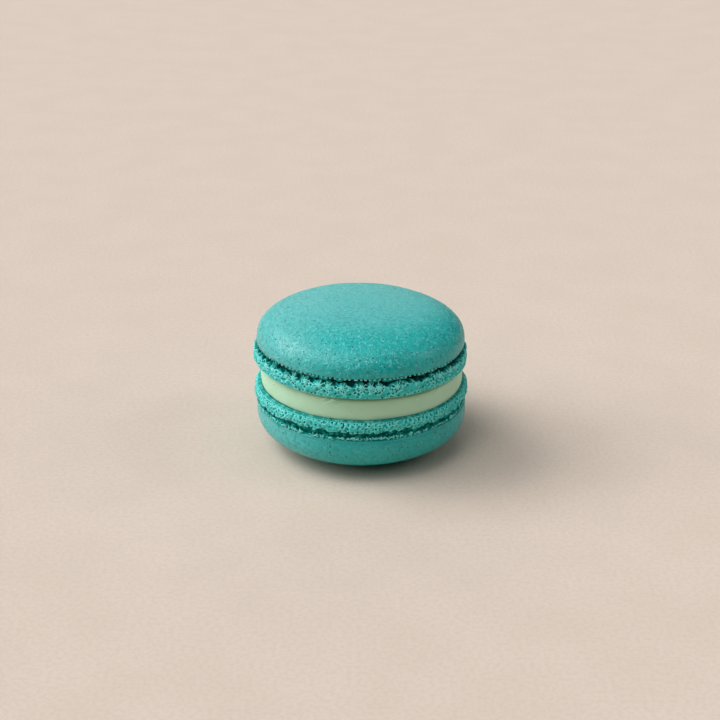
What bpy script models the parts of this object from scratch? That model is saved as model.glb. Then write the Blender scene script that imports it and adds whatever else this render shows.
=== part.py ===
"""A french macaron: two domed almond shells with ruffled feet, and a pale filling between them.

Sizes are in millimetres in the constants and become metres in the meshes. +Z is up, and the
origin is the centre of the footprint, on the surface that the macaron rests on. The feet are
the lacy bands where each shell rose in the oven: they stand a little proud of the domes, and
a shaded crevice parts each foot from its dome.
"""
import math
import random
from collections import namedtuple

import bmesh
import bpy
from mathutils import Vector, noise

MM = 0.001

# Heights above the table, along the axis
BASE_CUT = 0.1
BOTTOM_WIDEST_Z = 8.4
BOTTOM_CAP_EDGE_Z = 10.4
BOTTOM_FOOT_EDGE_Z = 12.45
BOTTOM_FOOT_WIDEST_Z = 13.1
FILLING_LOW_Z = 14.95
FILLING_HIGH_Z = 20.45
TOP_FOOT_WIDEST_Z = 20.95
TOP_FOOT_EDGE_Z = 23.3
TOP_CAP_EDGE_Z = 24.65
TOP_WIDEST_Z = 24.95
APEX_Z = 32.73

# Radii
TOP_CAP_R = 23.2
BOTTOM_CAP_R = 23.6
TOP_FOOT_R = 23.8
BOTTOM_FOOT_R = 23.85
FILLING_R = 22.7
FILLING_END_R = 22.3
CREVICE_R = 22.1
SEAT_R = 22.0

# The domes' outline is a superellipse of this power
DOME_POWER = 2.5

# The upper shell sits a little to the left and dips to the right, as pressed on by hand
TOP_SHIFT_X = -0.3
TOP_TILT_DEG = 0.7

# Clearance between touching pieces
GAP = 0.3

# Relief of the feet: mounds about as wide as the ruffles, and how far they stand out
MOUND_ROWS = 2
MOUNDS_IN_ROW = 62
MOUND_SMALL_R = 1.0
MOUND_LARGE_R = 1.6
MOUND_REACH = 0.9
MOUND_SINK = 0.5
MOUND_SHUFFLE = 0.38
MOUND_STRAY = 0.35

# Slow unevenness: of the domes, of the feet's outline and of the feet's ragged edges
DOME_SWELL = 0.07
DOME_SWELL_LENGTH = 14.0
FOOT_SWAY = 0.16
FOOT_SWAY_LENGTH = 9.0
RAGGED_RISE = 0.55
RAGGED_LENGTH = 2.6

# Points round each ring: the feet are the finest, and the domes thin out towards the middle
FINE = 160
MIDDLE = FINE // 2
COARSE = FINE // 4
FILLING_POINTS = 96
FILLING_BANDS = 7
FILLING_ROUNDING = 0.6

# Edges sharper than this stay sharp in the shading
SHARP_DEG = 50

# How far the mounds keep from the filling
FOOT_RIM = 0.3

SEED_TOP = 11
SEED_BOTTOM = 23

SHELL_COLOUR = (0.071, 0.456, 0.434, 1.0)
FILLING_COLOUR = (0.48, 0.69, 0.48, 1.0)

# ruffle and ragged say how much of the mounds and of the ragged edge a ring takes
Ring = namedtuple("Ring", "points r z ruffle ragged")
Mound = namedtuple("Mound", "angle z size")


def clear_scene():
    for item in list(bpy.data.objects):
        bpy.data.objects.remove(item, do_unlink=True)


def around(angle, radius, seed):
    """A point on a circle in noise space, so that what it gives closes on itself."""
    return Vector((math.cos(angle) * radius, math.sin(angle) * radius, seed * 7.3))


def wave(angle, radius, length, seed):
    """Smooth unevenness of about -1 to 1, with hills about length wide along a ring."""
    return 2.0 * noise.noise(around(angle, radius, seed) / length)


def dome_rings(radius, widest_z, height, direction, last_degrees):
    """Rings of a superellipse dome from next to its widest one to the last.

    The angles are those above the widest ring, in steps that keep the facets even.
    """
    power = 2.0 / DOME_POWER
    rings = []
    for points, degrees in ((FINE, 9), (FINE, 18), (FINE, 28), (MIDDLE, 39), (MIDDLE, 51),
                            (COARSE, 64), (COARSE // 2, last_degrees)):
        angle = math.radians(degrees)
        r = radius * math.cos(angle) ** power
        z = widest_z + direction * height * math.sin(angle) ** power
        rings.append(Ring(points, r, z, 0.0, 0.0))
    return rings


def make_mounds(seed, low_z, high_z):
    """Seeded mounds in staggered rows between two heights of a foot."""
    rng = random.Random(seed)
    mounds = []
    for row in range(MOUND_ROWS):
        row_z = low_z + (high_z - low_z) * (row + 0.5) / MOUND_ROWS
        for i in range(MOUNDS_IN_ROW):
            turn = (i + 0.5 * row + rng.uniform(-MOUND_SHUFFLE, MOUND_SHUFFLE)) / MOUNDS_IN_ROW
            z = row_z + rng.uniform(-MOUND_STRAY, MOUND_STRAY)
            size = rng.uniform(MOUND_SMALL_R, MOUND_LARGE_R)
            mounds.append(Mound(math.tau * turn, z, size))
    return mounds


def mound_height(angle, radius, z, mounds):
    """How far the foot stands out at a point: the highest mound there, less the creases."""
    best = 0.0
    for mound in mounds:
        swing = (angle - mound.angle + math.pi) % math.tau - math.pi
        along = swing * radius
        if abs(along) > mound.size:
            continue
        share = 1.0 - (along ** 2 + (z - mound.z) ** 2) / mound.size ** 2
        if share > 0.0:
            best = max(best, math.sqrt(share) * mound.size / MOUND_LARGE_R)
    return best * MOUND_REACH - MOUND_SINK


def ring_points(ring, mounds, seed):
    """The ring's points in metres, with their relief."""
    points = []
    for i in range(ring.points):
        angle = math.tau * i / ring.points
        r, z = ring.r, ring.z
        if ring.ruffle:
            r += ring.ruffle * mound_height(angle, ring.r, ring.z, mounds)
            r += ring.ruffle * FOOT_SWAY * wave(angle, ring.r, FOOT_SWAY_LENGTH, seed)
        else:
            r += DOME_SWELL * wave(angle, ring.r, DOME_SWELL_LENGTH, seed + 1)
        z += ring.ragged * RAGGED_RISE * wave(angle, ring.r, RAGGED_LENGTH, seed + 2)
        points.append(Vector((r * math.cos(angle), r * math.sin(angle), z)) * MM)
    return points


def join_rings(bm, first, second):
    """Joins two rings of points with faces. The second has as many points or half as many."""
    count = len(first)
    if len(second) == count:
        for i in range(count):
            j = (i + 1) % count
            bm.faces.new((first[i], first[j], second[j], second[i]))
        return
    for k, vert in enumerate(second):
        i = 2 * k
        after = second[(k + 1) % len(second)]
        bm.faces.new((first[i], first[i + 1], vert))
        bm.faces.new((first[i + 1], after, vert))
        bm.faces.new((first[i + 1], first[(i + 2) % count], after))


def loft(bm, rings):
    """Joins rings of points in order, and closes both ends with a flat face."""
    verts = [[bm.verts.new(point) for point in ring] for ring in rings]
    for first, second in zip(verts, verts[1:]):
        join_rings(bm, first, second)
    bm.faces.new(verts[0])
    bm.faces.new(verts[-1])


def make_material(name, colour, roughness):
    material = bpy.data.materials.new(name)
    material.use_nodes = True
    shader = material.node_tree.nodes["Principled BSDF"]
    shader.inputs["Base Color"].default_value = colour
    shader.inputs["Roughness"].default_value = roughness
    shader.inputs["Metallic"].default_value = 0.0
    material.diffuse_color = colour
    return material


def make_object(name, rings, material, parent):
    """A closed solid from its rings, shaded smooth except over sharp edges."""
    bm = bmesh.new()
    loft(bm, rings)
    bmesh.ops.recalc_face_normals(bm, faces=bm.faces)
    mesh = bpy.data.meshes.new(name)
    bm.to_mesh(mesh)
    bm.free()
    mesh.shade_smooth()
    mesh.set_sharp_from_angle(angle=math.radians(SHARP_DEG))
    mesh.materials.append(material)
    solid = bpy.data.objects.new(name, mesh)
    bpy.context.collection.objects.link(solid)
    solid.parent = parent
    return solid


def top_shell_rings():
    """Heights here start from the foot's underside, where the shell's own origin is."""
    base = FILLING_HIGH_Z
    widest = TOP_WIDEST_Z - base
    edge = TOP_FOOT_EDGE_Z - base
    lip = TOP_CAP_EDGE_Z - base
    bulge = TOP_FOOT_WIDEST_Z - base
    rings = [Ring(FINE, SEAT_R, 0.0, 0.0, 0.0),
             Ring(FINE, TOP_FOOT_R - 0.35, 0.02, 0.35, 0.0),
             Ring(FINE, TOP_FOOT_R, bulge, 0.6, 0.1),
             Ring(FINE, TOP_FOOT_R, bulge + 0.65, 1.0, 0.2),
             Ring(FINE, TOP_FOOT_R - 0.15, bulge + 1.3, 1.0, 0.5),
             Ring(FINE, TOP_FOOT_R - 0.4, edge - 0.3, 1.0, 0.8),
             Ring(FINE, CREVICE_R + 0.3, edge + 0.2, 0.6, 0.8),
             Ring(FINE, CREVICE_R, lip - 0.2, 0.6, 0.3),
             Ring(FINE, TOP_CAP_R - 0.4, lip, 0.0, 0.2),
             Ring(FINE, TOP_CAP_R - 0.1, lip + 0.12, 0.0, 0.1),
             Ring(FINE, TOP_CAP_R, widest, 0.0, 0.0)]
    height = APEX_Z - TOP_WIDEST_Z
    return rings + dome_rings(TOP_CAP_R, widest, height, 1, 77)


def bottom_shell_rings():
    """From the ledge round the filling down to the flat spot that it rests on."""
    bulge = BOTTOM_FOOT_WIDEST_Z
    edge = BOTTOM_FOOT_EDGE_Z
    lip = BOTTOM_CAP_EDGE_Z
    rings = [Ring(FINE, SEAT_R, FILLING_LOW_Z, 0.0, 0.0),
             Ring(FINE, BOTTOM_FOOT_R - 0.9, FILLING_LOW_Z - 0.02, 0.3, 0.1),
             Ring(FINE, BOTTOM_FOOT_R - 0.3, FILLING_LOW_Z - 0.5, 0.7, 0.2),
             Ring(FINE, BOTTOM_FOOT_R, bulge + 0.65, 1.0, 0.2),
             Ring(FINE, BOTTOM_FOOT_R, bulge, 1.0, 0.5),
             Ring(FINE, BOTTOM_FOOT_R - 0.3, edge, 1.0, 0.9),
             Ring(FINE, CREVICE_R + 0.4, edge - 0.25, 0.7, 0.9),
             Ring(FINE, CREVICE_R + 0.3, lip + 0.45, 0.7, 0.4),
             Ring(FINE, BOTTOM_CAP_R - 0.25, lip, 0.1, 0.3),
             Ring(FINE, BOTTOM_CAP_R - 0.1, lip - 0.9, 0.0, 0.0),
             Ring(FINE, BOTTOM_CAP_R, BOTTOM_WIDEST_Z, 0.0, 0.0)]
    height = BOTTOM_WIDEST_Z + BASE_CUT
    power = DOME_POWER / 2.0
    flat_degrees = math.degrees(math.asin((BOTTOM_WIDEST_Z / height) ** power))
    return rings + dome_rings(BOTTOM_CAP_R, BOTTOM_WIDEST_Z, height, -1, flat_degrees)


def make_shell(name, rings, foot_low, foot_high, seed, material, parent):
    mounds = make_mounds(seed, foot_low, foot_high)
    points = [ring_points(ring, mounds, seed) for ring in rings]
    return make_object(name, points, material, parent)


def filling_rings():
    """A bulged disc whose upper face follows the tilt of the upper shell."""
    low = FILLING_LOW_Z + GAP
    high = FILLING_HIGH_Z - GAP
    slope = math.tan(math.radians(TOP_TILT_DEG))
    rings = []
    for k in range(FILLING_BANDS + 1):
        share = k / FILLING_BANDS
        bulge = 0.0
        if 0 < k < FILLING_BANDS:
            bulge = math.sin(math.pi * share) ** FILLING_ROUNDING
        ring = []
        for i in range(FILLING_POINTS):
            angle = math.tau * i / FILLING_POINTS
            r = FILLING_END_R + (FILLING_R - FILLING_END_R) * bulge
            r += DOME_SWELL * wave(angle, r, DOME_SWELL_LENGTH, SEED_TOP + SEED_BOTTOM)
            x = r * math.cos(angle)
            z = low + (high - low) * share - x * slope * share
            ring.append(Vector((x, r * math.sin(angle), z)) * MM)
        rings.append(ring)
    return rings


def centre_on_origin(parent, solids):
    """Moves the parent so that the solids' shared box is centred over the origin."""
    bpy.context.view_layer.update()
    corners = [solid.matrix_world @ vert.co for solid in solids for vert in solid.data.vertices]
    for axis in (0, 1):
        values = [corner[axis] for corner in corners]
        parent.location[axis] = -(min(values) + max(values)) / 2.0


def main():
    clear_scene()
    macaron = bpy.data.objects.new("macaron", None)
    bpy.context.collection.objects.link(macaron)

    shell = make_material("shell_top", SHELL_COLOUR, 0.55)
    top = make_shell("shell_top", top_shell_rings(), FOOT_RIM, TOP_FOOT_EDGE_Z - FILLING_HIGH_Z,
                     SEED_TOP, shell, macaron)
    top.location = (TOP_SHIFT_X * MM, 0.0, FILLING_HIGH_Z * MM)
    top.rotation_euler = (0.0, math.radians(TOP_TILT_DEG), 0.0)

    shell = make_material("shell_bottom", SHELL_COLOUR, 0.55)
    bottom = make_shell("shell_bottom", bottom_shell_rings(), BOTTOM_FOOT_EDGE_Z,
                        FILLING_LOW_Z - FOOT_RIM, SEED_BOTTOM, shell, macaron)

    cream = make_material("filling", FILLING_COLOUR, 0.35)
    filling = make_object("filling", filling_rings(), cream, macaron)

    centre_on_origin(macaron, (top, bottom, filling))


main()
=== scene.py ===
import math

import bpy
import numpy as np
from mathutils import Euler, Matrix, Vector


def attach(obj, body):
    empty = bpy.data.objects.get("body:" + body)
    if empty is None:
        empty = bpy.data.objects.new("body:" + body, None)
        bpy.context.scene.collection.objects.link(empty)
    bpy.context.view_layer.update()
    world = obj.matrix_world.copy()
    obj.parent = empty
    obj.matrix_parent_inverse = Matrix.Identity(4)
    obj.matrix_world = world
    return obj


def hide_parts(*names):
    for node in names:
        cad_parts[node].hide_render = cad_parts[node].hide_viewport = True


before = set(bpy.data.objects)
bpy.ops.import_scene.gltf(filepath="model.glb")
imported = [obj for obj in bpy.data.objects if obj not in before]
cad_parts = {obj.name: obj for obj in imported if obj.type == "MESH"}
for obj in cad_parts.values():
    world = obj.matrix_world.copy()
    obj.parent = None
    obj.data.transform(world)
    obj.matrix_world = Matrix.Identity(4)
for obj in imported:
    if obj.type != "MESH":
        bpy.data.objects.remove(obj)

# Sizes are in millimetres here and become metres in the meshes. +Z is up, and the camera looks
# along +Y. The origin is the centre of the footprint.
MM = 0.001
TAU = math.tau

# Heights above the floor
BASE_CUT = 0.1
BOTTOM_WIDEST_Z = 8.4
GROOVE_Z = 9.85
BOTTOM_LIP_Z = 10.4
BOTTOM_FOOT_EDGE_Z = 12.45
FILLING_LOW_Z = 14.95
FILLING_HIGH_Z = 20.45
TOP_FOOT_EDGE_Z = 23.3
TOP_LIP_Z = 24.65
TOP_WIDEST_Z = 24.95
APEX_Z = 32.73

# Radii
TOP_CAP_R = 23.2
BOTTOM_CAP_R = 23.6
FOOT_R = 23.95
FILLING_R = 22.7
CREVICE_R = 22.1

# The domes' outline is a superellipse of this power
DOME_POWER = 2.5

# Where the upper dome is roughest and how far that reaches, and a height far from both domes
ROUGH_SPOT = (-9.0, -19.5, 27.0)
ROUGH_REACH = 6.5
NOWHERE = 1000.0
NO_SPOT = (0.0, 0.0, NOWHERE)

# How wide the rounded lip under each dome is, and how far apart its torn beads are
LIP_WIDTH = 0.25
BEAD_PITCH = 1.05
BEAD_ROW = 0.15
TOP_BEAD = 0.3

# The upper shell sits a little to the left and dips to the right
TOP_SHIFT_X = -0.3
TOP_TILT = math.radians(0.7)

# Where the noise for the ledge's ribs is read
RIB_R = 23.0
RIB_Z = 2.0

# The lower foot spread a little more to the left
LOW_FOOT_SHIFT_X = -0.2

# The grid that the feet are carved on: points round the ring, the size of a cell, how far
# stamps blend in and a reach of nothing
AROUND = 928
CELL = 0.15
SOFT = 0.05
CRISP = 0.03
STILL = (0.0, 0.0, 0.0)

# The rings that the domes are laid out on: points in the widest ones, and the steps between
# them near the rim and further in
TOP_RING = 896
TOP_STEPS = (0.19, 0.26)
BOTTOM_RING = 768
BOTTOM_STEPS = (0.19, 0.45)
LIP_STEP = 0.1
LIP_BAND = 1.5

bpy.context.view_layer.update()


def smoothstep(low, high, x):
    t = np.clip((x - low) / (high - low), 0.0, 1.0)
    return t * t * (3.0 - 2.0 * t)


def blend_corners(cell, share, value_at):
    """Blends the values at the eight corners of cells, by how far across its cell each place is."""
    total = 0.0
    for corner in np.ndindex(2, 2, 2):
        weight = np.where(corner, share, 1.0 - share).prod(-1)
        total = total + weight * value_at(cell + corner)
    return total


class Noise:
    """Smooth seeded noise of about -1 to 1 at points of any number."""

    SIDE = 64

    def __init__(self, seed):
        self.table = np.random.default_rng(seed).uniform(-1.0, 1.0, (self.SIDE,) * 3)

    def corner(self, cell):
        i, j, k = np.moveaxis(cell % self.SIDE, -1, 0)
        return self.table[i, j, k]

    def __call__(self, points, length):
        scaled = np.asarray(points, float) / length + 1000.0
        cell = np.floor(scaled).astype(int)
        share = scaled - cell
        share = share ** 3 * (share * (share * 6.0 - 15.0) + 10.0)
        return 1.5 * blend_corners(cell, share, self.corner)


def on_ring(angle, radius, z=0.0):
    """Points on a ring, for noise that closes on itself."""
    angle, z = np.broadcast_arrays(angle, z)
    return np.stack([radius * np.cos(angle), radius * np.sin(angle), z], -1)


def soft_min(a, b, blend):
    h = np.clip(0.5 + 0.5 * (b - a) / blend, 0.0, 1.0)
    return b * (1.0 - h) + a * h - blend * h * (1.0 - h)


def soft_max(a, b, blend):
    return -soft_min(-a, -b, blend)


class RingField:
    """A solid ring as values on a grid round the axis: above zero inside, zero on its surface.

    The grid's axes run round the ring, outwards and up. Its inner side follows base_radius,
    a radius at each height, so that no cells are spent on what lies hidden.
    """

    def __init__(self, low_z, high_z, depth, base_radius):
        self.step = TAU / AROUND
        self.angle = self.step * np.arange(AROUND)
        self.z = low_z + CELL * np.arange(round((high_z - low_z) / CELL) + 1)
        self.base = base_radius(self.z)
        self.r = CELL * np.arange(round(depth / CELL) + 1)[:, None] + self.base[None, :]
        self.value = self.held = self.light = self.whole = None

    def fill(self, value):
        """Takes the uncarved solid. Its two innermost layers stay even however deep the carving goes."""
        self.value = value.astype(np.float32)
        self.held = np.minimum(self.value[:, :2, :].mean(0), 0.02)
        self.light = np.zeros_like(self.value)
        self.whole = self.value.copy()

    def stamp(self, angle, r, z, radius, reach=STILL, blend=SOFT, add=False, light=0.0):
        """Carves a ball, or a rod with that half length along the ring, outwards and up.

        It can be added instead, and marked as light, as thin spikes are.
        """
        pad = radius + 2.0 * blend
        span = (abs(reach[0]) + pad) / r
        first, last = math.floor((angle - span) / self.step), math.ceil((angle + span) / self.step)
        i = np.arange(first, last + 1)
        k = np.nonzero(np.abs(self.z - z) <= abs(reach[2]) + pad)[0]
        near = np.abs(self.r[:, k] - r) <= abs(reach[1]) + pad
        j = np.nonzero(near.any(1))[0]
        if not len(j):
            return
        where = np.ix_(i % AROUND, j, k)
        u = ((i * self.step - angle) * r)[:, None, None]
        w = (self.r[np.ix_(j, k)] - r)[None]
        v = (self.z[k] - z)[None, None]
        length2 = sum(x * x for x in reach)
        if length2 > 0.0:
            t = np.clip((u * reach[0] + w * reach[1] + v * reach[2]) / length2, -1.0, 1.0)
            u, w, v = u - t * reach[0], w - t * reach[1], v - t * reach[2]
        gap = np.sqrt(u * u + w * w + v * v) - radius
        if add:
            self.value[where] = soft_max(self.value[where], -gap, blend)
        else:
            self.value[where] = soft_min(self.value[where], gap, blend)
        if light > 0.0:
            glow = light * np.exp(-(np.maximum(gap, 0.0) / 0.09) ** 2)
            self.light[where] = np.maximum(self.light[where], glow)

    def at(self, array, grid):
        """The values of an array at places between the grid's points."""
        def corner(cell):
            i, j, k = cell.T
            return array[i % AROUND, j, k]

        cell = np.floor(grid).astype(int)
        return blend_corners(cell, grid - cell, corner)

    def surface(self):
        """Where the value is zero: points as (angle, r, z), their places in the grid, and quads."""
        self.value[:, :2, :] = self.held
        count_i, count_j, count_k = self.value.shape
        f = np.concatenate([self.value, self.value[:1]], 0)
        inside = f > 0.0
        full = sum(inside[a:a + count_i, b:b + count_j - 1, c:c + count_k - 1].astype(np.int8)
                   for a, b, c in np.ndindex(2, 2, 2))
        active = (full > 0) & (full < 8)
        index = np.full(full.shape, -1)
        index[active] = np.arange(active.sum())
        grid = zero_places(f, np.argwhere(active))
        quads = np.concatenate([grid_quads(inside, index), inner_strip(index)])
        keep = largest_part(len(grid), quads)
        quads = (np.cumsum(keep) - 1)[quads[keep[quads[:, 0]]]]
        grid = grid[keep]
        angle = grid[:, 0] * self.step
        z = np.interp(grid[:, 2], np.arange(count_k), self.z)
        r = np.interp(grid[:, 2], np.arange(count_k), self.base) + grid[:, 1] * CELL
        return np.stack([angle, r, z], 1), grid, quads

    def solidity(self, grid, reach):
        """How much of the box round each place is solid: over a half in a hollow, less on a ridge."""
        share = (self.value > 0.0).astype(np.float32)
        for axis in range(3):
            pad = [(0, 0)] * 3
            pad[axis] = (reach + 1, reach)
            total = np.cumsum(np.pad(share, pad, mode="edge" if axis else "wrap"), axis=axis)
            size = 2 * reach + 1
            first = np.arange(share.shape[axis])
            share = (np.take(total, first + size, axis) - np.take(total, first, axis)) / size
        return self.at(share, grid)


def zero_places(f, cells):
    """The middle of the places where each cell's edges cross zero."""
    total = np.zeros((len(cells), 3))
    hits = np.zeros(len(cells))
    for corner in np.ndindex(2, 2, 2):
        for axis in range(3):
            if corner[axis]:
                continue
            start = cells + corner
            end = start.copy()
            end[:, axis] += 1
            a, b = f[tuple(start.T)], f[tuple(end.T)]
            cross = (a > 0.0) != (b > 0.0)
            t = np.where(cross, a / np.where(cross, a - b, 1.0), 0.0)
            place = np.array(corner, float) + t[:, None] * np.eye(3)[axis]
            total += np.where(cross[:, None], place, 0.0)
            hits += cross
    return cells + total / hits[:, None]


def grid_quads(inside, index):
    """A quad across each of the grid's edges that the surface cuts."""
    quads = []
    for axis in range(3):
        before = [slice(0, len(index)), slice(None), slice(None)]
        after = list(before)
        before[axis], after[axis] = slice(0, -1), slice(1, None)
        first = inside[tuple(before)]
        edge = np.argwhere(first != inside[tuple(after)])
        others = [a for a in range(3) if a != axis]
        for a in others:
            if a:
                edge = edge[(edge[:, a] > 0) & (edge[:, a] < index.shape[a])]
        ring = []
        for da, db in ((1, 1), (0, 1), (0, 0), (1, 0)):
            cell = edge.copy()
            cell[:, others[0]] -= da
            cell[:, others[1]] -= db
            cell[:, 0] %= len(index)
            ring.append(index[tuple(cell.T)])
        quad = np.stack(ring, 1)
        turned = first[tuple(edge.T)] == (axis == 1)
        quad[turned] = quad[turned][:, ::-1]
        quads.append(quad)
    return np.concatenate(quads)[:, ::-1]


def inner_strip(index):
    """One tall strip of faces, which closes the inner side where the grid ends."""
    inner = index[:, 0, :]
    rows = np.nonzero(inner[0] >= 0)[0]
    low, high = inner[:, rows[0]], inner[:, rows[-1]]
    return np.stack([low, np.roll(low, -1), np.roll(high, -1), high], 1)


def quad_edges(quads):
    """The points that the quads' edges start and end at."""
    return quads.reshape(-1), np.roll(quads, -1, 1).reshape(-1)


def largest_part(count, quads):
    """Which points belong to the largest connected part, so that loose crumbs can go."""
    start, end = quad_edges(quads)
    label = np.arange(count)
    while True:
        fresh = label.copy()
        np.minimum.at(fresh, start, label[end])
        np.minimum.at(fresh, end, label[start])
        fresh = fresh[fresh]
        if (fresh == label).all():
            break
        label = fresh
    return label == np.bincount(label).argmax()


def to_xyz(points):
    """From (angle, r, z) to x, y and z."""
    angle, r, z = points.T
    return on_ring(angle, r, z)


def summed(index, values, count):
    """Adds up the rows of values that share an index."""
    return np.stack([np.bincount(index, column, count) for column in values.T], 1)


def relax(xyz, quads, rounds, share):
    """Evens the points of a mesh out along its edges."""
    start, end = quad_edges(quads)
    size = len(xyz)
    count = np.bincount(start, minlength=size) + np.bincount(end, minlength=size)
    for _ in range(rounds):
        total = summed(start, xyz[end], size) + summed(end, xyz[start], size)
        xyz = xyz + share * (total / np.maximum(count, 1)[:, None] - xyz)
    return xyz


def normals_of(xyz, quads):
    a = xyz[quads[:, 2]] - xyz[quads[:, 0]]
    b = xyz[quads[:, 3]] - xyz[quads[:, 1]]
    face = np.cross(a, b)
    normal = sum(summed(corner, face, len(xyz)) for corner in quads.T)
    return normal / np.maximum(np.linalg.norm(normal, axis=1), 1e-9)[:, None]


def add_object(name, data):
    thing = bpy.data.objects.new(name, data)
    bpy.context.scene.collection.objects.link(thing)
    return thing


def make_piece(name, xyz, faces, material, node, attributes):
    """A piece from points in millimetres and a list of face arrays, riding on the one body."""
    mesh = bpy.data.meshes.new(name)
    counts = np.concatenate([np.full(len(part), part.shape[1]) for part in faces])
    loops = np.concatenate([part.reshape(-1) for part in faces])
    mesh.vertices.add(len(xyz))
    mesh.vertices.foreach_set("co", (np.asarray(xyz) * MM).astype(np.float32).reshape(-1))
    mesh.loops.add(len(loops))
    mesh.loops.foreach_set("vertex_index", loops.astype(np.int32))
    mesh.polygons.add(len(counts))
    starts = np.concatenate([[0], np.cumsum(counts)[:-1]])
    mesh.polygons.foreach_set("loop_start", starts.astype(np.int32))
    mesh.update(calc_edges=True)
    mesh.validate()
    mesh.shade_smooth()
    for key, values in attributes.items():
        layer = mesh.attributes.new(key, "FLOAT", "POINT")
        layer.data.foreach_set("value", np.asarray(values, np.float32))
    mesh.materials.append(material)
    piece = add_object(name, mesh)
    if node is not None:
        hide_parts(node)
    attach(piece, "root")
    return piece


def place_top(xyz):
    """Tilts and shifts what belongs to the upper shell, about the middle of the foot's underside."""
    turned = np.array(xyz, float)
    turned[:, 2] -= FILLING_HIGH_Z
    matrix = np.array(Euler((0.0, TOP_TILT, 0.0)).to_matrix())
    turned = turned @ matrix.T
    turned[:, 0] += TOP_SHIFT_X
    turned[:, 2] += FILLING_HIGH_Z
    return turned


def place_low_foot(xyz):
    return xyz + [LOW_FOOT_SHIFT_X, 0.0, 0.0]


# The domes

# Turns and stretches space so that the front's short strokes lean to the left
LEAN = math.radians(25.0)
STROKES = np.array([[math.cos(LEAN), 0.0, math.sin(LEAN)],
                    [0.0, 1.0, 0.0],
                    [-0.45 * math.sin(LEAN), 0.0, 0.45 * math.cos(LEAN)]])


def dome_outline(radius, widest_z, rise, angle):
    """The dome's r and z at angles from 0 at the widest ring to a right angle at the middle."""
    power = 2.0 / DOME_POWER
    return radius * np.cos(angle) ** power, widest_z + rise * np.sin(angle) ** power


def dome_profile(radius, widest_z, rise, lip, last_degrees):
    """The outline from the hidden inner edge, round the lip and up to the middle."""
    angle = np.radians(np.linspace(0.0, last_degrees, 4000))
    r, z = (np.concatenate(part) for part in zip(lip.T, dome_outline(radius, widest_z, rise, angle)))
    along = np.concatenate([[0.0], np.cumsum(np.hypot(np.diff(r), np.diff(z)))])
    return along, r, z


def dome_rings(profile, ring_points, steps):
    """Rings of points along the outline: close at the lip, with fewer points where rings are small."""
    along, r, z = profile
    rings = []
    place = 0.0
    points = ring_points
    full = r.max()
    while place < along[-1]:
        ring_r = np.interp(place, along, r)
        while points > 24 and ring_r < 0.53 * full * points / ring_points:
            points //= 2
        rings.append((points, ring_r, np.interp(place, along, z), place))
        step = steps[1] if ring_r < 0.55 * full else steps[0]
        place += min(step, LIP_STEP) if place < LIP_BAND else step
    rings.append((points, r[-1], z[-1], along[-1]))
    return rings


def join_rings(rings):
    """Vertices as (angle, r, z), how far along the outline each is, and the faces."""
    points, along, quads, tris = [], [], [], []
    start = 0
    last = None
    for count, r, z, place in rings:
        angle = TAU * np.arange(count) / count
        points.append(np.stack([angle, np.full(count, r), np.full(count, z)], 1))
        along.append(np.full(count, place))
        index = start + np.arange(count)
        after = np.roll(index, -1)
        if last is not None and len(last) == count:
            quads.append(np.stack([last, np.roll(last, -1), after, index], 1))
        elif last is not None:
            even, odd = last[::2], last[1::2]
            tris.append(np.stack([even, odd, index], 1))
            tris.append(np.stack([odd, after, index], 1))
            tris.append(np.stack([odd, np.roll(even, -1), after], 1))
        last = index
        start += count
    return np.concatenate(points), np.concatenate(along), np.concatenate(quads), np.concatenate(tris), last


def dimple(xyz, places, radii, depths, normal):
    """Presses round pinholes with faint raised rims into a surface, at the given points."""
    shift = np.zeros(len(xyz))
    for place, radius, depth in zip(places, radii, depths):
        near = np.nonzero(np.abs(xyz - place).max(1) < 2.2 * radius)[0]
        d = np.linalg.norm(xyz[near] - place, axis=1) / radius
        shift[near] -= depth * np.exp(-(d * 1.25) ** 4)
        shift[near] += 0.12 * depth * np.exp(-((d - 1.35) / 0.3) ** 2)
    return xyz + normal * shift[:, None], shift


def lip_curve(radius, widest_z, lip_z, inner_r, direction):
    """The rounded lip under a dome, from its hidden inner edge out to the widest ring."""
    drop = abs(widest_z - lip_z)
    lip_r = radius - LIP_WIDTH
    angle = np.linspace(-math.pi / 2.0, 0.0, 24)[:-1]
    curve_r = lip_r + (radius - lip_r) * np.cos(angle)
    curve_z = widest_z + direction * drop * np.sin(angle)
    inner = [(inner_r, widest_z), (inner_r + 0.25, lip_z + direction * 0.12), (lip_r - 0.3, lip_z)]
    return np.concatenate([inner, np.stack([curve_r, curve_z], 1)])


def worms(noise, xyz, length, width):
    """Thin curly lines, broken into short pieces: 1 on a line and 0 away from it."""
    bend = np.stack([noise(xyz + shift, length * 2.0) for shift in (300.0, 400.0, 500.0)], -1)
    line = np.exp(-(noise(xyz + 0.5 * length * bend, length) / width) ** 2)
    return line * smoothstep(-0.25, 0.35, noise(xyz + 600.0, length * 1.6))


def bead_lip(points, along, row_place, direction, noise, size):
    """Torn beads in a row along the lip, and how much bead and how much gap is at each point."""
    angle = points[:, 0]
    beats = round(TAU * FOOT_R / BEAD_PITCH)
    phase = beats * angle + 2.4 * noise(on_ring(angle, 23.0, 5.0), 3.0)
    bead = smoothstep(-0.45, 0.2, np.cos(phase) + 0.5 * noise(on_ring(angle, 23.0, 8.0), 1.0))
    row = np.exp(-((along - row_place) / BEAD_ROW) ** 2)
    points[:, 2] -= direction * row * size * (bead - 0.4)
    points[:, 1] += row * size * (0.5 * bead - 0.2)
    shown = min(size / TOP_BEAD, 1.0)
    return shown * row * bead, shown * row * (1.0 - bead)


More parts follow.
